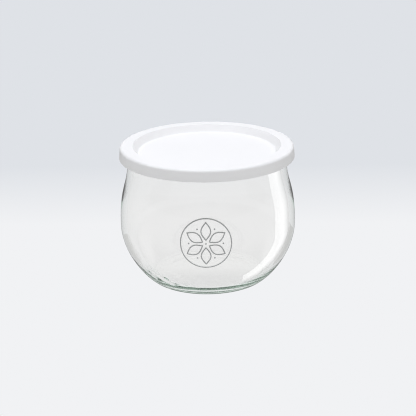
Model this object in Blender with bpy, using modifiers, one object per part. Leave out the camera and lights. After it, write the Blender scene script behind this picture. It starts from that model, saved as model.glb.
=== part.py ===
"""A preserving jar of clear pressed glass, empty, shut with a white push-on plastic cover.

Metres, +Z up. The origin is the middle of the jar's foot, on the surface that it stands on, and
the raised rosette on the glass faces -Y.
"""

import math

import bmesh
import bpy
from mathutils import Vector
from mathutils.geometry import interpolate_bezier

# Glass body, outside
BELLY_RADIUS = 0.0554
BELLY_HEIGHT = 0.0367
NECK_RADIUS = 0.0502
NECK_HEIGHT = 0.0775
FOOT_RADIUS = 0.0342
HEEL_PULL = 0.0042  # how far the foot runs on flat before it turns up into the heel
BELLY_PULL_DOWN = 0.0191
BELLY_PULL_UP = 0.0259
NECK_PULL = 0.0164

# Glass body, inside: an even wall that thickens to a heavy base
WALL = 0.0030
FLOOR_RADIUS = 0.0340
FLOOR_HEIGHT = 0.0046
FLOOR_RISE = 0.0006
FLOOR_PULL = 0.0052
INNER_BELLY_PULL = 0.0162
MOUTH_RADIUS = 0.0475

# Underside: a flat ring to stand on round a shallow hollow
FOOT_RING_WIDTH = 0.0043
HOLLOW_SLOPE = 0.0078
HOLLOW_DEPTH = 0.0003
HOLLOW_RISE = 0.0005

# Sealing bead round the mouth
BODY_HEIGHT = 0.0855
BEAD_RADIUS = 0.0534
BEAD_BOTTOM = 0.0809
BEAD_ROUNDING = 0.0013
MOUTH_ROUNDING = 0.0010

# Plastic cover
COVER_RADIUS = 0.0551
COVER_HEIGHT = 0.0873
COVER_WALL = 0.0012
SKIRT_DEPTH = 0.0076
SKIRT_DRAFT = 0.0004
COVER_ROUNDING = 0.0018
RING_INNER_RADIUS = 0.0465
PANEL_RADIUS = 0.0424
PANEL_DROP = 0.0042
COVE_RADIUS = 0.0438
COVE_HEIGHT = 0.0007
COVE_ROUNDING = 0.0007
PLUG_CHAMFER = 0.0006
GAP = 0.0003
SNAP_LIP = 0.0008
SNAP_LIP_HEIGHT = 0.0009

# Raised rosette on the front of the glass
ROSETTE_HEIGHT = 0.0410
ROSETTE_RADIUS = 0.0156
PETALS = 6
PETAL_TIP = 0.0132
PETAL_ROOT = 0.0024
PETAL_HALF_WIDTH = 0.0029
LINE_HALF_WIDTH = 0.00065
LINE_RELIEF = 0.00060
DOT_RADIUS = 0.00085
DOT_RELIEF = 0.00060
DOT_RING_RADIUS = 0.0105

TURNS = 72


def arc(centre_x, centre_z, radius, start, end, steps):
    """Points of a round corner in the section plane, its two ends included; angles in degrees."""
    points = []
    for i in range(steps + 1):
        angle = math.radians(start + (end - start) * i / steps)
        points.append((centre_x + radius * math.cos(angle), centre_z + radius * math.sin(angle)))
    return points


def sweep(start, start_handle, end_handle, end, steps):
    """Points of one long curved stretch of a section, its two ends included."""
    knots = [Vector((x, z, 0.0)) for x, z in (start, start_handle, end_handle, end)]
    return [(p.x, p.y) for p in interpolate_bezier(*knots, steps + 1)]


def dome(radius, edge_height, rise, steps):
    """Points of a shallow dome from the axis out to its edge."""
    points = []
    for i in range(steps + 1):
        share = i / steps
        points.append((radius * share, edge_height + rise * (1.0 - share * share)))
    return points


def without_repeats(points):
    """The same outline with each point that repeats the one before it left out."""
    kept = [points[0]]
    for point in points[1:]:
        if math.dist(point, kept[-1]) > 1e-6:
            kept.append(point)
    return kept


def body_outside():
    """Outer wall from the top of the neck down to the foot."""
    neck = (NECK_RADIUS, NECK_HEIGHT)
    belly = (BELLY_RADIUS, BELLY_HEIGHT)
    foot = (FOOT_RADIUS, 0.0)
    shoulder = sweep(neck, (NECK_RADIUS, NECK_HEIGHT - NECK_PULL),
                     (BELLY_RADIUS, BELLY_HEIGHT + BELLY_PULL_UP), belly, 8)
    heel = sweep(belly, (BELLY_RADIUS, BELLY_HEIGHT - BELLY_PULL_DOWN),
                 (FOOT_RADIUS + HEEL_PULL, 0.0), foot, 10)
    return shoulder + heel


def body_inside():
    """Inner wall from the edge of the floor up to the mouth."""
    floor = (FLOOR_RADIUS, FLOOR_HEIGHT)
    belly = (BELLY_RADIUS - WALL, BELLY_HEIGHT)
    mouth = (MOUTH_RADIUS, NECK_HEIGHT)
    heel = sweep(floor, (FLOOR_RADIUS + FLOOR_PULL, FLOOR_HEIGHT),
                 (belly[0], BELLY_HEIGHT - INNER_BELLY_PULL), belly, 8)
    shoulder = sweep(belly, (belly[0], BELLY_HEIGHT + BELLY_PULL_UP),
                     (MOUTH_RADIUS, NECK_HEIGHT - NECK_PULL), mouth, 7)
    return heel + shoulder


def rim():
    """Lip of the mouth and the sealing bead, from the inner edge over the top and down to the neck."""
    top = BODY_HEIGHT
    lip = arc(MOUTH_RADIUS + MOUTH_ROUNDING, top - MOUTH_ROUNDING, MOUTH_ROUNDING, 180, 90, 3)
    shoulder = arc(BEAD_RADIUS - BEAD_ROUNDING, top - BEAD_ROUNDING, BEAD_ROUNDING, 90, 0, 3)
    underside = arc(BEAD_RADIUS - BEAD_ROUNDING, BEAD_BOTTOM + BEAD_ROUNDING, BEAD_ROUNDING, 0, -90, 3)
    fillet = NECK_RADIUS + (BEAD_BOTTOM - NECK_HEIGHT) / 3
    return lip + shoulder + underside + [(fillet, BEAD_BOTTOM - (fillet - NECK_RADIUS) / 2)]


def underside():
    """Flat foot ring and the shallow hollow inside it, from the outer edge in to the axis."""
    ring_inner = FOOT_RADIUS - FOOT_RING_WIDTH
    hollow_edge = ring_inner - HOLLOW_SLOPE
    slope = sweep((ring_inner, 0.0), (ring_inner - 0.4 * HOLLOW_SLOPE, 0.0),
                  (hollow_edge + 0.4 * HOLLOW_SLOPE, HOLLOW_DEPTH), (hollow_edge, HOLLOW_DEPTH), 4)
    hollow = dome(hollow_edge, HOLLOW_DEPTH, HOLLOW_RISE, 2)
    return slope + hollow[::-1]


def jar_section():
    """Half section of the glass, from the middle of the floor, up the inside and down the outside."""
    floor = dome(FLOOR_RADIUS, FLOOR_HEIGHT, FLOOR_RISE, 3)
    return without_repeats(floor + body_inside() + rim() + body_outside() + underside())


def cover_section():
    """Half section of the cover, from the middle of its panel, out over the ring and back underneath."""
    panel_height = COVER_HEIGHT - PANEL_DROP
    wall_foot = (COVE_RADIUS, panel_height + COVE_HEIGHT)
    steepness = (COVER_HEIGHT - wall_foot[1]) / (RING_INNER_RADIUS - COVE_RADIUS)
    cove = sweep((PANEL_RADIUS, panel_height), (PANEL_RADIUS + COVE_ROUNDING, panel_height),
                 (COVE_RADIUS - 0.6 * COVE_ROUNDING, wall_foot[1] - 0.6 * COVE_ROUNDING * steepness),
                 wall_foot, 3)
    shoulder_radius = COVER_RADIUS - SKIRT_DRAFT - COVER_ROUNDING
    shoulder = arc(shoulder_radius, COVER_HEIGHT - COVER_ROUNDING, COVER_ROUNDING, 90, 0, 4)
    skirt_bottom = COVER_HEIGHT - SKIRT_DEPTH
    skirt_inner = COVER_RADIUS - COVER_WALL
    lip_top = skirt_bottom + SNAP_LIP_HEIGHT
    skirt = [(COVER_RADIUS, skirt_bottom),
             (skirt_inner - SNAP_LIP / 2, skirt_bottom),
             (skirt_inner - SNAP_LIP, skirt_bottom + SNAP_LIP_HEIGHT / 2),
             (skirt_inner, lip_top)]
    ring_underside = BODY_HEIGHT + GAP
    plug_radius = MOUTH_RADIUS - 2 * GAP
    plug_bottom = panel_height - COVER_WALL
    inside = [(skirt_inner, ring_underside),
              (plug_radius, ring_underside),
              (plug_radius - PLUG_CHAMFER, ring_underside - 3 * PLUG_CHAMFER),
              (PANEL_RADIUS + PLUG_CHAMFER, plug_bottom),
              (0.0, plug_bottom)]
    top = [(0.0, panel_height)] + cove + [(RING_INNER_RADIUS, COVER_HEIGHT)]
    return without_repeats(top + shoulder + skirt + inside)


def turned(name, section, material, collection):
    """A solid of revolution: the half section swept round the vertical axis."""
    mesh = bpy.data.meshes.new(name)
    edges = [(i, i + 1) for i in range(len(section) - 1)]
    mesh.from_pydata([(x, 0.0, z) for x, z in section], edges, [])
    mesh.materials.append(material)
    piece = bpy.data.objects.new(name, mesh)
    collection.objects.link(piece)
    screw = piece.modifiers.new("turn", 'SCREW')
    screw.axis = 'Z'
    screw.angle = 2 * math.pi
    screw.steps = TURNS
    screw.render_steps = TURNS
    screw.use_merge_vertices = True
    screw.merge_threshold = 0.00001
    screw.use_smooth_shade = True
    return piece


def wall_radius(height):
    """Radius of the glass's outer wall at a height."""
    wall = body_outside()
    for (upper_radius, upper), (lower_radius, lower) in zip(wall, wall[1:]):
        if lower <= height <= upper and upper > lower:
            share = (height - lower) / (upper - lower)
            return lower_radius + share * (upper_radius - lower_radius)
    return FOOT_RADIUS


def on_front_wall(across, up, sink):
    """A point across and up, along the glass, from the rosette's middle, and sunk into the outer wall."""
    height = ROSETTE_HEIGHT + up
    radius = wall_radius(height) - sink
    angle = across / radius - math.pi / 2
    return Vector((radius * math.cos(angle), radius * math.sin(angle), height))


def ring_line(radius, steps):
    """A circle round the rosette's middle."""
    line = []
    for i in range(steps):
        angle = 2 * math.pi * i / steps
        line.append((radius * math.cos(angle), radius * math.sin(angle)))
    return line


def petal_line(direction, steps):
    """A pointed petal from near the middle out to its tip: one side out, the other side back."""
    length = PETAL_TIP - PETAL_ROOT
    out = []
    for side in (1, -1):
        for i in range(steps):
            share = i / steps
            along = PETAL_ROOT + length * (share if side > 0 else 1 - share)
            out.append((along, side * PETAL_HALF_WIDTH * math.sin(math.pi * share)))
    cosine = math.cos(direction)
    sine = math.sin(direction)
    return [(x * cosine - y * sine, x * sine + y * cosine) for x, y in out]


def rosette(collection):
    """The raised lines and dots as one helper mesh, half sunk in the wall, to be joined to the glass."""
    curve = bpy.data.curves.new("rosette_lines", 'CURVE')
    curve.dimensions = '3D'
    curve.bevel_depth = LINE_HALF_WIDTH
    curve.bevel_resolution = 1
    line_sink = LINE_HALF_WIDTH - LINE_RELIEF
    lines = [ring_line(ROSETTE_RADIUS, 36)]
    for i in range(PETALS):
        lines.append(petal_line(math.radians(90) + 2 * math.pi * i / PETALS, 7))
    for line in lines:
        spline = curve.splines.new('POLY')
        spline.points.add(len(line) - 1)
        for point, (across, up) in zip(spline.points, line):
            point.co = (*on_front_wall(across, up, line_sink), 1.0)
        spline.use_cyclic_u = True
    drawn = bpy.data.objects.new("rosette_lines", curve)
    collection.objects.link(drawn)
    graph = bpy.context.evaluated_depsgraph_get()
    mesh = bpy.data.meshes.new_from_object(drawn.evaluated_get(graph))
    bpy.data.objects.remove(drawn)

    form = bmesh.new()
    form.from_mesh(mesh)
    places = [(0.0, 0.0)]
    for i in range(PETALS):
        angle = math.radians(90) + 2 * math.pi * (i + 0.5) / PETALS
        places.append((DOT_RING_RADIUS * math.cos(angle), DOT_RING_RADIUS * math.sin(angle)))
    for across, up in places:
        dot = bmesh.ops.create_icosphere(form, subdivisions=1, radius=DOT_RADIUS)
        middle = on_front_wall(across, up, DOT_RADIUS - DOT_RELIEF)
        bmesh.ops.translate(form, verts=dot["verts"], vec=middle)
    form.to_mesh(mesh)
    form.free()
    raised = bpy.data.objects.new("raised_rosette", mesh)
    raised.hide_render = True
    raised.display_type = 'WIRE'
    collection.objects.link(raised)
    return raised


def join(piece, helper):
    """Fuses a helper's shape to a piece."""
    union = piece.modifiers.new("fuse " + helper.name, 'BOOLEAN')
    union.operation = 'UNION'
    union.object = helper


def plain_material(name, colour, roughness, transmission=0.0):
    material = bpy.data.materials.new(name)
    material.use_nodes = True
    material.diffuse_color = colour
    shader = material.node_tree.nodes["Principled BSDF"]
    shader.inputs["Base Color"].default_value = colour
    shader.inputs["Roughness"].default_value = roughness
    shader.inputs["Metallic"].default_value = 0.0
    shader.inputs["Transmission Weight"].default_value = transmission
    return material


def clear_scene():
    for old in list(bpy.data.objects):
        bpy.data.objects.remove(old)


def main():
    clear_scene()
    parts = bpy.data.collections.new("preserving_jar")
    helpers = bpy.data.collections.new("helpers")
    bpy.context.scene.collection.children.link(parts)
    bpy.context.scene.collection.children.link(helpers)

    glass = plain_material("clear glass", (0.90, 0.95, 0.92, 1.0), 0.02, transmission=1.0)
    plastic = plain_material("white plastic", (0.88, 0.89, 0.90, 1.0), 0.42)

    jar = turned("jar", jar_section(), glass, parts)
    join(jar, rosette(helpers))
    turned("cover", cover_section(), plastic, parts)


main()
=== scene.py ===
import math

import bpy
import numpy as np
from mathutils import Matrix, Vector


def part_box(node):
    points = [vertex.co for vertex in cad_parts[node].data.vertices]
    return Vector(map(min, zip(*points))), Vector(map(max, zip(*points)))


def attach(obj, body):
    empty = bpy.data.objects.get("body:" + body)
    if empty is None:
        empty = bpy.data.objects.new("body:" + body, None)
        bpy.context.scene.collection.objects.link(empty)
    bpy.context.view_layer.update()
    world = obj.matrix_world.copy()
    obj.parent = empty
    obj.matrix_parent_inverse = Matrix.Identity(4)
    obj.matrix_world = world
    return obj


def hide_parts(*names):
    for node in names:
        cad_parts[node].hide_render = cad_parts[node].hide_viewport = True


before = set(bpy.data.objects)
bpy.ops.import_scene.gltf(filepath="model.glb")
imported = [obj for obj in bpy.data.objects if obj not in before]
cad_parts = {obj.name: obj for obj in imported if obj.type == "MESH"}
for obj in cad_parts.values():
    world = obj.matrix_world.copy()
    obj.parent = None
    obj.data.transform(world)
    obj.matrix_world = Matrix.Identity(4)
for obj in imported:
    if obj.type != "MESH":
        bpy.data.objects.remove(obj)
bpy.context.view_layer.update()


# The camera stands about a metre off and looks down a little, as for a catalogue picture. The
# focal length is in pixels of the photograph's 416 pixel side.
VIEW_DISTANCE = 1.0
VIEW_ELEVATION = math.radians(18.65)
VIEW_AZIMUTH = math.radians(1.4)
VIEW_ROLL = math.radians(-0.85)
AIM = Vector((0.0002, 0.0, 0.04516))
FRAME_PIXELS = 416
FOCAL_PIXELS = 1573.0

camera_data = bpy.data.cameras.new("camera")
camera_data.lens = FOCAL_PIXELS / FRAME_PIXELS * camera_data.sensor_width
camera_data.clip_start = 0.05
camera_data.clip_end = 20.0
camera = bpy.data.objects.new("camera", camera_data)
bpy.context.scene.collection.objects.link(camera)
towards_camera = Vector((math.sin(VIEW_AZIMUTH) * math.cos(VIEW_ELEVATION),
                         -math.cos(VIEW_AZIMUTH) * math.cos(VIEW_ELEVATION),
                         math.sin(VIEW_ELEVATION)))
facing = (-towards_camera).to_track_quat('-Z', 'Y').to_matrix().to_4x4()
camera.matrix_world = (Matrix.Translation(AIM + VIEW_DISTANCE * towards_camera) @ facing
                       @ Matrix.Rotation(VIEW_ROLL, 4, 'Z'))
bpy.context.scene.camera = camera


# The jar is pressed from clear soda glass in one piece: a drawn-in neck with a sealing bead, a
# bulging wall of about 3 mm and a heavy base. The rosette on its front is raised in the mould.
jar_low, jar_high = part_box("jar")
BODY_HEIGHT = jar_high[2]
BELLY_RADIUS = jar_high[0]
BELLY_HEIGHT = 0.0367
NECK_RADIUS = 0.0502
NECK_HEIGHT = 0.0775
FOOT_RADIUS = 0.0342
HEEL_PULL = 0.0042
BELLY_PULL_DOWN = 0.0191
BELLY_PULL_UP = 0.0259
NECK_PULL = 0.0164
WALL = 0.0030
FLOOR_RADIUS = 0.0340
FLOOR_HEIGHT = 0.0046
FLOOR_RISE = 0.0006
FLOOR_PULL = 0.0052
INNER_BELLY_PULL = 0.0162
MOUTH_RADIUS = 0.0475
FOOT_RING_WIDTH = 0.0043
HOLLOW_SLOPE = 0.0078
HOLLOW_EASE = 0.4 * HOLLOW_SLOPE
HOLLOW_DEPTH = 0.0003
HOLLOW_RISE = 0.0005
BEAD_RADIUS = 0.0534
BEAD_BOTTOM = 0.0809
BEAD_ROUNDING = 0.0013
UNDERCUT_WIDTH = 0.0008
UNDERCUT_PULL = 0.0018
MOUTH_ROUNDING = 0.0010

ROSETTE_HEIGHT = 0.0410
ROSETTE_RADIUS = 0.0156
PETALS = 6
PETAL_TIP = 0.0132
PETAL_ROOT = 0.0024
PETAL_HALF_WIDTH = 0.0029
PETAL_SAMPLES = 81
LINE_HALF_WIDTH = 0.00065
LINE_RELIEF = 0.00050
DOT_RADIUS = 0.00085
DOT_RELIEF = 0.00050
DOT_RING_RADIUS = 0.0105

RIPPLE = 0.00005
RIPPLE_WAVES = ((11, 0.4, 500.0), (17, 2.1, -700.0), (29, 4.0, 900.0), (41, 1.2, -300.0))
RIPPLED_SIDE = math.radians(225.0)
RIPPLED_SPREAD = math.radians(28.0)
RIPPLE_HEIGHT = 0.012
RIPPLE_BAND = 0.007
RIPPLES_START_RADIUS = 0.02

COARSE_STEP = 0.0009
FINE_STEP = 0.00016
COARSE_TURN = math.radians(2.0)
PATCH_MARGIN = 0.0012
SAME_PLACE = 1e-6


def arc(centre, radius, start, end, steps):
    """Points of a round corner in the section plane; angles in degrees."""
    angles = np.radians(np.linspace(start, end, steps + 1))
    return np.stack([centre[0] + radius * np.cos(angles), centre[1] + radius * np.sin(angles)], 1)


def sweep(start, start_handle, end_handle, end, steps=400):
    """Points of one long curved stretch of a section."""
    t = np.linspace(0.0, 1.0, steps + 1)[:, None]
    knots = [np.array(p) for p in (start, start_handle, end_handle, end)]
    return ((1 - t) ** 3 * knots[0] + 3 * t * (1 - t) ** 2 * knots[1]
            + 3 * t ** 2 * (1 - t) * knots[2] + t ** 3 * knots[3])


def dome(radius, edge_height, rise, steps=60):
    """Points of a shallow dome from the axis out to its edge."""
    share = np.linspace(0.0, 1.0, steps + 1)
    return np.stack([radius * share, edge_height + rise * (1 - share ** 2)], 1)


def spaced(points, step_at):
    """The same line with its points set step_at(height) apart, its two ends kept."""
    run = np.concatenate([[0.0], np.cumsum(np.hypot(*np.diff(points, axis=0).T))])
    places = [0.0]
    while places[-1] < run[-1]:
        height = np.interp(places[-1], run, points[:, 1])
        places.append(places[-1] + step_at(height))
    places = np.array(places) * run[-1] / places[-1]
    return np.stack([np.interp(places, run, points[:, k]) for k in (0, 1)], 1)


def joined(pieces):
    """The stretches of a section as one line, without the points that repeat the one before."""
    section = np.concatenate(pieces)
    apart = np.hypot(*np.diff(section, axis=0).T) > SAME_PLACE
    return section[np.concatenate([[True], apart])]


def turned_mesh(name, section, angles, swell=None):
    """A closed solid of revolution as a grid: the section's rows by the given columns.

    The section's first and last points lie on the axis. swell(rows, columns) gives how far each
    point stands out along the section's own normal.
    """
    along = np.gradient(section, axis=0)
    along /= np.hypot(*along.T)[:, None]
    normal = np.stack([-along[:, 1], along[:, 0]], 1)
    rise = np.zeros((len(section), len(angles))) if swell is None else swell(section, angles)
    radius = section[:, :1] + rise * normal[:, :1]
    height = section[:, 1:] + rise * normal[:, 1:]
    grid = np.stack([radius * np.cos(angles), radius * np.sin(angles), height], 2)
    rows, columns = len(section) - 2, len(angles)
    inner = grid[1:-1].reshape(-1, 3)
    first, last = rows * columns, rows * columns + 1
    ends = [(0.0, 0.0, section[0, 1]), (0.0, 0.0, section[-1, 1])]
    here = np.arange(columns)
    beside = (here + 1) % columns
    faces = [(first, int(a), int(b)) for a, b in zip(here, beside)]
    for row in range(rows - 1):
        low, high = row * columns, (row + 1) * columns
        faces += np.stack([low + here, high + here, high + beside, low + beside], 1).tolist()
    base = (rows - 1) * columns
    faces += [(base + int(a), last, base + int(b)) for a, b in zip(here, beside)]
    mesh = bpy.data.meshes.new(name)
    mesh.from_pydata(np.concatenate([inner, ends]).tolist(), [], faces)
    mesh.shade_smooth()
    return mesh


def rounded(share):
    """A soft bump across a line or a dot: 1 along its middle and 0 from its edge on."""
    return 0.5 * (1 + np.cos(math.pi * np.clip(share, 0, 1)))


def rosette_relief(across, up):
    """How far the glass stands out at a place on the rosette: soft raised lines and round dots."""
    reach = np.hypot(across, up)
    sector = 2 * math.pi / PETALS
    from_top = np.arctan2(up, across) - math.pi / 2
    turn = (from_top + sector / 2) % sector - sector / 2
    along = reach * np.cos(turn)
    aside = np.abs(reach * np.sin(turn))
    to_line = np.abs(reach - ROSETTE_RADIUS)
    for share in np.linspace(0.0, 1.0, PETAL_SAMPLES):
        line_along = PETAL_ROOT + (PETAL_TIP - PETAL_ROOT) * share
        line_aside = PETAL_HALF_WIDTH * math.sin(math.pi * share)
        to_line = np.minimum(to_line, np.hypot(along - line_along, aside - line_aside))
    between = from_top % sector - sector / 2
    to_outer_dot = np.hypot(reach * np.cos(between) - DOT_RING_RADIUS, reach * np.sin(between))
    to_dot = np.minimum(reach, to_outer_dot)
    return np.maximum(LINE_RELIEF * rounded(to_line / LINE_HALF_WIDTH),
                      DOT_RELIEF * rounded(to_dot / DOT_RADIUS))


patch_reach = ROSETTE_RADIUS + LINE_HALF_WIDTH + PATCH_MARGIN
patch_turn = patch_reach / (BELLY_RADIUS - WALL)


def wall_step(height):
    """Close rows where the rosette is and wide ones elsewhere."""
    return FINE_STEP if abs(height - ROSETTE_HEIGHT) < patch_reach else COARSE_STEP


def coarse(height):
    """Wide rows at every height."""
    return COARSE_STEP


def jar_section():
    """Half section of the glass: floor, inner wall, lip and bead, outer wall, foot and hollow."""
    inner_belly = (BELLY_RADIUS - WALL, BELLY_HEIGHT)
    belly = (BELLY_RADIUS, BELLY_HEIGHT)
    neck = (NECK_RADIUS, NECK_HEIGHT)
    floor = dome(FLOOR_RADIUS, FLOOR_HEIGHT, FLOOR_RISE)
    inside = sweep((FLOOR_RADIUS, FLOOR_HEIGHT), (FLOOR_RADIUS + FLOOR_PULL, FLOOR_HEIGHT),
                   (inner_belly[0], BELLY_HEIGHT - INNER_BELLY_PULL), inner_belly)
    inside_top = sweep(inner_belly, (inner_belly[0], BELLY_HEIGHT + BELLY_PULL_UP),
                       (MOUTH_RADIUS, NECK_HEIGHT - NECK_PULL), (MOUTH_RADIUS, NECK_HEIGHT))
    lip = arc((MOUTH_RADIUS + MOUTH_ROUNDING, BODY_HEIGHT - MOUTH_ROUNDING),
              MOUTH_ROUNDING, 180, 90, steps=8)
    bead_middle = BEAD_RADIUS - BEAD_ROUNDING
    bead_top = arc((bead_middle, BODY_HEIGHT - BEAD_ROUNDING), BEAD_ROUNDING, 90, 0, steps=8)
    bead_under = arc((bead_middle, BEAD_BOTTOM + BEAD_ROUNDING), BEAD_ROUNDING, 0, -90, steps=8)
    undercut = sweep((bead_middle, BEAD_BOTTOM), (NECK_RADIUS + UNDERCUT_WIDTH, BEAD_BOTTOM),
                     (NECK_RADIUS, NECK_HEIGHT + UNDERCUT_PULL), neck)
    shoulder = sweep(neck, (NECK_RADIUS, NECK_HEIGHT - NECK_PULL),
                     (BELLY_RADIUS, BELLY_HEIGHT + BELLY_PULL_UP), belly)
    heel = sweep(belly, (BELLY_RADIUS, BELLY_HEIGHT - BELLY_PULL_DOWN),
                 (FOOT_RADIUS + HEEL_PULL, 0.0), (FOOT_RADIUS, 0.0))
    outside = np.concatenate([shoulder, heel[1:]])
    ring_inner = FOOT_RADIUS - FOOT_RING_WIDTH
    foot = np.array([(FOOT_RADIUS, 0.0), (ring_inner, 0.0)])
    hollow_edge = (ring_inner - HOLLOW_SLOPE, HOLLOW_DEPTH)
    slope = sweep((ring_inner, 0.0), (ring_inner - HOLLOW_EASE, 0.0),
                  (hollow_edge[0] + HOLLOW_EASE, HOLLOW_DEPTH), hollow_edge, steps=80)
    hollow = np.concatenate([slope, dome(*hollow_edge, HOLLOW_RISE)[::-1][1:]])
    return joined([spaced(floor, coarse), spaced(inside, coarse), spaced(inside_top, coarse),
                   lip, bead_top, bead_under, spaced(undercut, coarse),
                   spaced(outside, wall_step), spaced(foot, coarse), spaced(hollow, coarse)])


def rosette_on_wall(section, angles):
    """The relief on the rows and columns of the outer wall's front, and nothing elsewhere."""
    radius, height = section.T
    outer = np.arange(len(section)) > int(np.argmax(height))
    rows = outer & (np.abs(height - ROSETTE_HEIGHT) < patch_reach)
    across = (angles[None, :] + math.pi / 2) * radius[:, None]
    up = np.broadcast_to(height[:, None] - ROSETTE_HEIGHT, across.shape)
    relief = np.zeros(across.shape)
    relief[rows] = rosette_relief(across[rows], up[rows])
    return relief


def rippled_inside(section, angles):
    """The ripples that the plunger left low on one side of the inside.

    Each wave has its number of crests round the jar, where it starts, and how it slants.
    """
    radius, height = section.T
    inner = (np.arange(len(section)) < int(np.argmax(height))) & (radius > RIPPLES_START_RADIUS)
    band = np.where(inner, np.exp(-((height - RIPPLE_HEIGHT) / RIPPLE_BAND) ** 2), 0.0)
    ripple = sum(np.sin(crests * angles[None, :] + start + slant * height[:, None])
                 for crests, start, slant in RIPPLE_WAVES)
    away = (angles - RIPPLED_SIDE + math.pi) % (2 * math.pi) - math.pi
    rippled_side = np.exp(-(away / RIPPLED_SPREAD) ** 2)
    return RIPPLE * ripple * band[:, None] * rippled_side[None, :]


def swelling(section, angles):
    """Everything in which the glass departs from its turned section."""
    return rosette_on_wall(section, angles) + rippled_inside(section, angles)


fine_columns = np.arange(-patch_turn, patch_turn, FINE_STEP / BELLY_RADIUS)
coarse_columns = np.arange(patch_turn, 2 * math.pi - patch_turn, COARSE_TURN)
jar_angles = np.concatenate([fine_columns, coarse_columns]) - math.pi / 2
jar_mesh = turned_mesh("jar_glass", jar_section(), jar_angles, swelling)
relief_share = rosette_on_wall(jar_section(), jar_angles)[1:-1].ravel() / LINE_RELIEF
raised = jar_mesh.attributes.new("raised", 'FLOAT', 'POINT')
raised.data.foreach_set("value", np.concatenate([relief_share, [0.0, 0.0]]))
jar_glass = bpy.data.objects.new("jar_glass", jar_mesh)
bpy.context.scene.collection.objects.link(jar_glass)

GLASS_TINT = (0.19, 0.81, 0.475, 1.0)
GLASS_DENSITY = 2.8
GLASS_SHADOW = (0.92, 0.95, 0.93, 1.0)
CLEAR = (1.0, 0.99, 0.985, 1.0)
# The rosette's raised lines are painted darker in the glass's own colour: painted shade for the dark
# edges that light bent by the relief gives.
LINE_SHADE = (0.12, 0.125, 0.125, 1.0)
LINE_SHADE_FROM = 0.1
LINE_SHADE_FULL = 0.7
GLASS_WAVES = 70.0
WAVE_DEPTH = 0.00002

clear_glass = bpy.data.materials.new("clear_glass")
clear_glass.use_nodes = True
nodes = clear_glass.node_tree.nodes
links = clear_glass.node_tree.links
shader = nodes["Principled BSDF"]
shader.inputs["Roughness"].default_value = 0.0
shader.inputs["IOR"].default_value = 1.52
shader.inputs["Transmission Weight"].default_value = 1.0
# Painted shade: the glass's base colour darkens from clear to LINE_SHADE where the rosette stands
# raised.
relief = nodes.new("ShaderNodeAttribute")
relief.attribute_name = "raised"
edge_shade = nodes.new("ShaderNodeValToRGB")
edge_shade.color_ramp.elements[0].position = LINE_SHADE_FROM
edge_shade.color_ramp.elements[0].color = CLEAR
edge_shade.color_ramp.elements[1].position = LINE_SHADE_FULL
edge_shade.color_ramp.elements[1].color = LINE_SHADE
links.new(relief.outputs["Fac"], edge_shade.inputs["Fac"])
links.new(edge_shade.outputs["Color"], shader.inputs["Base Color"])
place = nodes.new("ShaderNodeTexCoord")
waves = nodes.new("ShaderNodeTexNoise")
waves.inputs["Scale"].default_value = GLASS_WAVES
waves.inputs["Detail"].default_value = 1.0
links.new(place.outputs["Object"], waves.inputs["Vector"])
wave_bump = nodes.new("ShaderNodeBump")
wave_bump.inputs["Strength"].default_value = 1.0
wave_bump.inputs["Distance"].default_value = WAVE_DEPTH
links.new(waves.outputs["Fac"], wave_bump.inputs["Height"])
links.new(wave_bump.outputs["Normal"], shader.inputs["Normal"])
passing = nodes.new("ShaderNodeBsdfTransparent")
passing.inputs["Color"].default_value = GLASS_SHADOW
ray = nodes.new("ShaderNodeLightPath")
mixed = nodes.new("ShaderNodeMixShader")
links.new(ray.outputs["Is Shadow Ray"], mixed.inputs["Fac"])
links.new(shader.outputs["BSDF"], mixed.inputs[1])
links.new(passing.outputs["BSDF"], mixed.inputs[2])
output = nodes["Material Output"]
links.new(mixed.outputs["Shader"], output.inputs["Surface"])
absorption = nodes.new("ShaderNodeVolumeAbsorption")
absorption.inputs["Color"].default_value = GLASS_TINT
absorption.inputs["Density"].default_value = GLASS_DENSITY
links.new(absorption.outputs["Volume"], output.inputs["Volume"])
jar_mesh.materials.append(clear_glass)
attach(jar_glass, "root")
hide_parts("jar")


# The cover is moulded from white plastic: a flat ring over the jar's bead, a sunken panel and a
# short skirt with a small lip inside that snaps under the bead. It pulls off by hand.
cover_low, cover_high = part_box("cover")
COVER_RADIUS = cover_high[0]
COVER_HEIGHT = cover_high[2]
SKIRT_BOTTOM = cover_low[2]
SKIRT_DRAFT = 0.0004
SKIRT_EDGE_ROUNDING = 0.00025
COVER_WALL = 0.0012
COVER_ROUNDING = 0.0018
RING_INNER_RADIUS = 0.0465
PANEL_RADIUS = 0.0424
PANEL_DROP = 0.0042
PANEL_SAG = 0.00015
COVE_RADIUS = 0.0438
COVE_HEIGHT = 0.0007
COVE_ROUNDING = 0.0007
COVE_EASE = 0.0004
GAP = 0.0003
SNAP_LIP = 0.0008
SNAP_LIP_HEIGHT = 0.0009
PLUG_CHAMFER = 0.0006
COVER_COLUMNS = 256
CREASE = math.radians(40)


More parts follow.
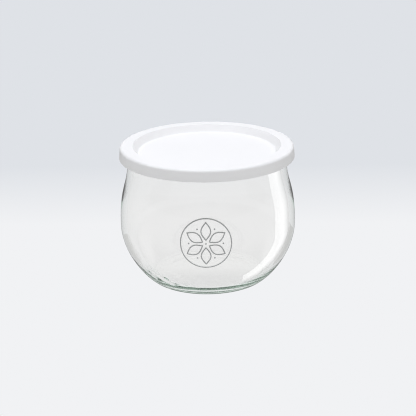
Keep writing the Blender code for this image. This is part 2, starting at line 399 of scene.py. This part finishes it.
def cover_section():
    """Half section of the cover: panel, cove, ring, skirt, snap lip, plug and the panel's underside."""
    panel_height = COVER_HEIGHT - PANEL_DROP
    sunken = dome(PANEL_RADIUS, panel_height, -PANEL_SAG)
    cove_end = (COVE_RADIUS, panel_height + COVE_HEIGHT)
    steepness = (COVER_HEIGHT - cove_end[1]) / (RING_INNER_RADIUS - COVE_RADIUS)
    cove = sweep((PANEL_RADIUS, panel_height), (PANEL_RADIUS + COVE_ROUNDING, panel_height),
                 (COVE_RADIUS - COVE_EASE, cove_end[1] - COVE_EASE * steepness), cove_end, steps=10)
    wall = np.array([cove_end, (RING_INNER_RADIUS, COVER_HEIGHT)])
    shoulder_radius = COVER_RADIUS - SKIRT_DRAFT - COVER_ROUNDING
    ring = np.array([(RING_INNER_RADIUS, COVER_HEIGHT), (shoulder_radius, COVER_HEIGHT)])
    shoulder = arc((shoulder_radius, COVER_HEIGHT - COVER_ROUNDING), COVER_ROUNDING, 90, 0, steps=12)
    edge = arc((COVER_RADIUS - SKIRT_EDGE_ROUNDING, SKIRT_BOTTOM + SKIRT_EDGE_ROUNDING),
               SKIRT_EDGE_ROUNDING, 0, -90, steps=5)
    skirt_inner = COVER_RADIUS - COVER_WALL
    snap_lip = np.array([(skirt_inner - SNAP_LIP / 2, SKIRT_BOTTOM),
                         (skirt_inner - SNAP_LIP, SKIRT_BOTTOM + SNAP_LIP_HEIGHT / 2),
                         (skirt_inner, SKIRT_BOTTOM + SNAP_LIP_HEIGHT)])
    ring_underside = BODY_HEIGHT + GAP
    plug_radius = MOUTH_RADIUS - 2 * GAP
    plug_bottom = panel_height - COVER_WALL
    underneath = np.array([(skirt_inner, ring_underside), (plug_radius, ring_underside),
                           (plug_radius - PLUG_CHAMFER, ring_underside - 3 * PLUG_CHAMFER),
                           (PANEL_RADIUS + PLUG_CHAMFER, plug_bottom), (0.0, plug_bottom)])
    return joined([spaced(sunken, coarse), cove, spaced(wall, coarse), spaced(ring, coarse),
                   shoulder, edge, snap_lip, underneath])


cover_angles = np.linspace(0.0, 2 * math.pi, COVER_COLUMNS, endpoint=False)
cover_mesh = turned_mesh("plastic_cover", cover_section(), cover_angles)
cover_mesh.set_sharp_from_angle(angle=CREASE)
plastic_cover = bpy.data.objects.new("plastic_cover", cover_mesh)
bpy.context.scene.collection.objects.link(plastic_cover)

CLOUDY_WHITE = (0.828, 0.824, 0.814, 1.0)
CLEAN_WHITE = (0.842, 0.837, 0.828, 1.0)
PLASTIC_CLOUDS = 45.0
CLOUDS_FROM = 0.3
CLOUDS_TO = 0.7
SATIN_LEAST = 0.40
SATIN_MOST = 0.52
PLASTIC_GRAIN = 1400.0
GRAIN_STRENGTH = 0.3
GRAIN_DEPTH = 0.00004

white_plastic = bpy.data.materials.new("white_plastic")
white_plastic.use_nodes = True
nodes = white_plastic.node_tree.nodes
links = white_plastic.node_tree.links
shader = nodes["Principled BSDF"]
place = nodes.new("ShaderNodeTexCoord")
clouds = nodes.new("ShaderNodeTexNoise")
clouds.inputs["Scale"].default_value = PLASTIC_CLOUDS
clouds.inputs["Detail"].default_value = 3.0
links.new(place.outputs["Object"], clouds.inputs["Vector"])
whites = nodes.new("ShaderNodeValToRGB")
whites.color_ramp.elements[0].position = CLOUDS_FROM
whites.color_ramp.elements[0].color = CLOUDY_WHITE
whites.color_ramp.elements[1].position = CLOUDS_TO
whites.color_ramp.elements[1].color = CLEAN_WHITE
links.new(clouds.outputs["Fac"], whites.inputs["Fac"])
links.new(whites.outputs["Color"], shader.inputs["Base Color"])
satin = nodes.new("ShaderNodeMapRange")
satin.inputs["To Min"].default_value = SATIN_LEAST
satin.inputs["To Max"].default_value = SATIN_MOST
links.new(clouds.outputs["Fac"], satin.inputs["Value"])
links.new(satin.outputs["Result"], shader.inputs["Roughness"])
grain = nodes.new("ShaderNodeTexNoise")
grain.inputs["Scale"].default_value = PLASTIC_GRAIN
links.new(place.outputs["Object"], grain.inputs["Vector"])
grain_bump = nodes.new("ShaderNodeBump")
grain_bump.inputs["Strength"].default_value = GRAIN_STRENGTH
grain_bump.inputs["Distance"].default_value = GRAIN_DEPTH
links.new(grain.outputs["Fac"], grain_bump.inputs["Height"])
links.new(grain_bump.outputs["Normal"], shader.inputs["Normal"])
cover_mesh.materials.append(white_plastic)
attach(plastic_cover, "root")
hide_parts("cover")


# The studio's floor is a pale sweep that shines by itself, darker behind the jar and in a narrow
# contact shadow at the foot. It has tones of its own where it is seen through the glass, and lights
# the plastic a little more than it looks.
FLOOR_SIDE = 12.0
FLOOR_DROP = 0.0002
FLOOR_NEAR = (0.879, 0.887, 0.905, 1.0)
FLOOR_FAR = (0.738, 0.761, 0.799, 1.0)
GLASS_FLOOR_NEAR = (0.870, 0.878, 0.892, 1.0)
GLASS_FLOOR_FAR = (0.805, 0.822, 0.842, 1.0)
FADE_FROM = 0.10
FADE_TO = 0.24
FLOOR_BOUNCE = 1.14
CONTACT_FROM = 0.0314
CONTACT_TO = 0.0347
CONTACT_SOFT_IN = 0.0004
CONTACT_SOFT_OUT = 0.0001
CONTACT_DARK = (0.79, 0.79, 0.79, 1.0)
UNSHADED = (1.0, 1.0, 1.0, 1.0)


def glow(name, colour=(1.0, 1.0, 1.0)):
    """A material that only shines, and its emission node."""
    material = bpy.data.materials.new(name)
    material.use_nodes = True
    tree = material.node_tree
    tree.nodes.remove(tree.nodes["Principled BSDF"])
    emission = tree.nodes.new("ShaderNodeEmission")
    emission.inputs["Color"].default_value = (*colour, 1.0)
    tree.links.new(emission.outputs["Emission"], tree.nodes["Material Output"].inputs["Surface"])
    return material, emission


def stretch(tree, value, low, high, at_low, at_high):
    """A value carried from one range to another and held at both ends."""
    span = tree.nodes.new("ShaderNodeMapRange")
    for name, number in (("From Min", low), ("From Max", high), ("To Min", at_low), ("To Max", at_high)):
        span.inputs[name].default_value = number
    tree.links.new(value, span.inputs["Value"])
    return span.outputs["Result"]


def product(tree, a, b):
    """Two values multiplied."""
    times = tree.nodes.new("ShaderNodeMath")
    times.operation = 'MULTIPLY'
    tree.links.new(a, times.inputs[0])
    tree.links.new(b, times.inputs[1])
    return times.outputs["Value"]


def fade(tree, share, near, far):
    """A colour between two others."""
    ramp = tree.nodes.new("ShaderNodeValToRGB")
    ramp.color_ramp.elements[0].color = near
    ramp.color_ramp.elements[1].color = far
    tree.links.new(share, ramp.inputs["Fac"])
    return ramp.outputs["Color"]


def card(name, width, height, place, target, material):
    """A flat card, facing a point."""
    mesh = bpy.data.meshes.new(name)
    x, y = width / 2, height / 2
    mesh.from_pydata([(-x, -y, 0), (x, -y, 0), (x, y, 0), (-x, y, 0)], [], [(0, 1, 2, 3)])
    mesh.materials.append(material)
    flat = bpy.data.objects.new(name, mesh)
    bpy.context.scene.collection.objects.link(flat)
    place = Vector(place)
    flat.matrix_world = (Matrix.Translation(place)
                         @ (Vector(target) - place).to_track_quat('Z', 'Y').to_matrix().to_4x4())
    return flat


floor_material, floor_glow = glow("pale_floor")
tree = floor_material.node_tree
place = tree.nodes.new("ShaderNodeNewGeometry")
parts = tree.nodes.new("ShaderNodeSeparateXYZ")
tree.links.new(place.outputs["Position"], parts.inputs["Vector"])
ray = tree.nodes.new("ShaderNodeLightPath")
behind = stretch(tree, parts.outputs["Y"], FADE_FROM, FADE_TO, 0.0, 1.0)
seen_floor = tree.nodes.new("ShaderNodeMix")
seen_floor.data_type = 'RGBA'
tree.links.new(ray.outputs["Is Transmission Ray"], seen_floor.inputs["Factor"])
tree.links.new(fade(tree, behind, FLOOR_NEAR, FLOOR_FAR), seen_floor.inputs["A"])
tree.links.new(fade(tree, behind, GLASS_FLOOR_NEAR, GLASS_FLOOR_FAR), seen_floor.inputs["B"])
tree.links.new(seen_floor.outputs["Result"], floor_glow.inputs["Color"])
flat = tree.nodes.new("ShaderNodeCombineXYZ")
tree.links.new(parts.outputs["X"], flat.inputs["X"])
tree.links.new(parts.outputs["Y"], flat.inputs["Y"])
from_middle = tree.nodes.new("ShaderNodeVectorMath")
from_middle.operation = 'LENGTH'
tree.links.new(flat.outputs["Vector"], from_middle.inputs[0])
contact = tree.nodes.new("ShaderNodeValToRGB")
tree.links.new(from_middle.outputs["Value"], contact.inputs["Fac"])
for stop, position in zip(contact.color_ramp.elements, (CONTACT_FROM, CONTACT_TO)):
    stop.position = position
    stop.color = UNSHADED
for position in (CONTACT_FROM + CONTACT_SOFT_IN, CONTACT_TO - CONTACT_SOFT_OUT):
    stop = contact.color_ramp.elements.new(position)
    stop.color = CONTACT_DARK
bounce = stretch(tree, ray.outputs["Is Diffuse Ray"], 0.0, 1.0, 1.0, FLOOR_BOUNCE)
tree.links.new(product(tree, contact.outputs["Color"], bounce), floor_glow.inputs["Strength"])
floor = card("floor", FLOOR_SIDE, FLOOR_SIDE, (0, 0, -FLOOR_DROP), (0, 0, 1), floor_material)
floor.visible_glossy = False


# The tent round the jar is what the glass and the plastic mirror: pale in front, a little darker at
# the sides, palest low behind, and dark high up behind and below the floor's line at the back. Each
# border is a part of a direction's unit length.
AMBIENT = 0.20
FRONT = 0.62
SIDE_FROM = 0.35
SIDE_TO = 0.7
SIDE_DARK = 0.55
BACK_STARTS = 0.0
BACK_WHOLE = 0.6
BACK_FROM = 0.33
BACK_TO = 0.48
BACK_LOW = 0.88
BACK_HIGH = 0.2
BELOW_FROM = 0.2
BELOW_TO = 0.9
BELOW_BACK = 0.3
HORIZON_FROM = -0.02
HORIZON_TO = 0.12

world = bpy.data.worlds.new("studio")
bpy.context.scene.world = world
world.use_nodes = True
sky = world.node_tree
direction = sky.nodes.new("ShaderNodeTexCoord")
axes = sky.nodes.new("ShaderNodeSeparateXYZ")
sky.links.new(direction.outputs["Generated"], axes.inputs["Vector"])


def blend(factor, a, b):
    """Between two brightnesses, each a number or a node's output."""
    mix = sky.nodes.new("ShaderNodeMix")
    sky.links.new(factor, mix.inputs["Factor"])
    for value, socket in ((a, mix.inputs["A"]), (b, mix.inputs["B"])):
        if isinstance(value, float):
            socket.default_value = value
        else:
            sky.links.new(value, socket)
    return mix.outputs["Result"]


aside = sky.nodes.new("ShaderNodeMath")
aside.operation = 'ABSOLUTE'
sky.links.new(axes.outputs["X"], aside.inputs[0])
sides = stretch(sky, aside.outputs["Value"], SIDE_FROM, SIDE_TO, 0.0, 1.0)
front = blend(sides, FRONT, SIDE_DARK)
back = stretch(sky, axes.outputs["Z"], BACK_FROM, BACK_TO, BACK_LOW, BACK_HIGH)
upper = blend(stretch(sky, axes.outputs["Y"], BACK_STARTS, BACK_WHOLE, 0.0, 1.0), front, back)
lower = stretch(sky, axes.outputs["Y"], BELOW_FROM, BELOW_TO, FRONT, BELOW_BACK)
above = stretch(sky, axes.outputs["Z"], HORIZON_FROM, HORIZON_TO, 0.0, 1.0)
sky_ray = sky.nodes.new("ShaderNodeLightPath")
seen = blend(sky_ray.outputs["Is Diffuse Ray"], blend(above, lower, upper), AMBIENT)
sky.links.new(seen, sky.nodes["Background"].inputs["Strength"])
sky.nodes["Background"].inputs["Color"].default_value = (1.0, 1.0, 1.0, 1.0)


# A tall soft box at the right makes the long highlight. It grows brighter towards its far edge and
# shows only where an outer face mirrors it.
BOX_NEAR_TURN = math.radians(96.5)
BOX_FAR_TURN = math.radians(130)
BOX_DISTANCE = 0.8
BOX_HEIGHT = 3.2
BOX_STRENGTH = 2.7
BOX_SOFT_FROM = 0.02
BOX_SOFT_TO = 0.5

box_material, box_glow = glow("soft_box")
tree = box_material.node_tree
ray = tree.nodes.new("ShaderNodeLightPath")
outside = tree.nodes.new("ShaderNodeMath")
outside.operation = 'LESS_THAN'
outside.inputs[1].default_value = 0.5
tree.links.new(ray.outputs["Transmission Depth"], outside.inputs[0])
mirrored = product(tree, outside.outputs["Value"], ray.outputs["Is Singular Ray"])
across_box = tree.nodes.new("ShaderNodeTexCoord")
box_axes = tree.nodes.new("ShaderNodeSeparateXYZ")
tree.links.new(across_box.outputs["Generated"], box_axes.inputs["Vector"])
shine = stretch(tree, box_axes.outputs["X"], BOX_SOFT_FROM, BOX_SOFT_TO, 0.0, BOX_STRENGTH)
tree.links.new(product(tree, mirrored, shine), box_glow.inputs["Strength"])
near_edge, far_edge = [Vector((math.sin(turn), -math.cos(turn), 0.0)) * BOX_DISTANCE
                       for turn in (BOX_NEAR_TURN, BOX_FAR_TURN)]
side_box = card("side_box", (far_edge - near_edge).length, BOX_HEIGHT, (near_edge + far_edge) / 2,
                (0, 0, 0), box_material)
side_box.visible_camera = False
side_box.visible_diffuse = False
side_box.visible_transmission = False
side_box.visible_shadow = False


# Two grey sheets lie flat on the floor beside the jar, a painted shadow of the jar's belly on the floor.
# They show through the glass alone, where they darken it low at its sides.
SHADOW_SHEETS = ((0.65, ((0.050, -0.008), (0.074, -0.012), (0.135, 0.078), (0.084, 0.084))),
         (0.7, ((-0.052, -0.008), (-0.074, -0.012), (-0.115, 0.050), (-0.080, 0.066))))
SHADOW_SHEET_RISE = 0.0001

for grey, corners in SHADOW_SHEETS:
    shadow_sheet_material, shadow_sheet_glow = glow("painted_shadow_sheet", (grey, grey, grey))
    shadow_sheet_mesh = bpy.data.meshes.new("shadow_sheet")
    shadow_sheet_mesh.from_pydata([(x, y, SHADOW_SHEET_RISE) for x, y in corners], [], [range(len(corners))])
    shadow_sheet_mesh.materials.append(shadow_sheet_material)
    shadow_sheet = bpy.data.objects.new("shadow_sheet", shadow_sheet_mesh)
    bpy.context.scene.collection.objects.link(shadow_sheet)
    shadow_sheet.visible_camera = False
    shadow_sheet.visible_diffuse = False
    shadow_sheet.visible_glossy = False
    shadow_sheet.visible_shadow = False


# Three large soft lamps, one overhead and one at each side, light the plastic. They don't show in
# the glass. Each has its name, place, watts and colour.
LAMP_SIDE = 1.0
COOL_WHITE = (0.93, 0.945, 1.005)
WARM_WHITE = (1.0, 0.99, 0.98)
LAMPS = (("overhead", (0.0, -0.10, 1.2), 16.2, COOL_WHITE),
         ("right_fill", (1.2, -0.3, 0.0), 1.9, WARM_WHITE),
         ("left_fill", (-1.2, -0.3, 0.0), 0.7, WARM_WHITE))

for name, place, watts, colour in LAMPS:
    lamp = bpy.data.lights.new(name, 'AREA')
    lamp.shape = 'SQUARE'
    lamp.size = LAMP_SIDE
    lamp.energy = watts
    lamp.color = colour
    holder = bpy.data.objects.new(name, lamp)
    holder.location = place
    holder.rotation_euler = (-Vector(place)).to_track_quat('-Z', 'Y').to_euler()
    holder.visible_glossy = False
    holder.visible_transmission = False
    bpy.context.scene.collection.objects.link(holder)

# Light runs round inside the thick base many times before it leaves, which gives it its green lines.
LIGHT_BOUNCES = 32
PIXEL_BLUR = 1.1
cycles = bpy.context.scene.cycles
cycles.max_bounces = LIGHT_BOUNCES
cycles.glossy_bounces = LIGHT_BOUNCES
cycles.transmission_bounces = LIGHT_BOUNCES
cycles.filter_width = PIXEL_BLUR
bpy.context.scene.view_settings.view_transform = 'Standard'
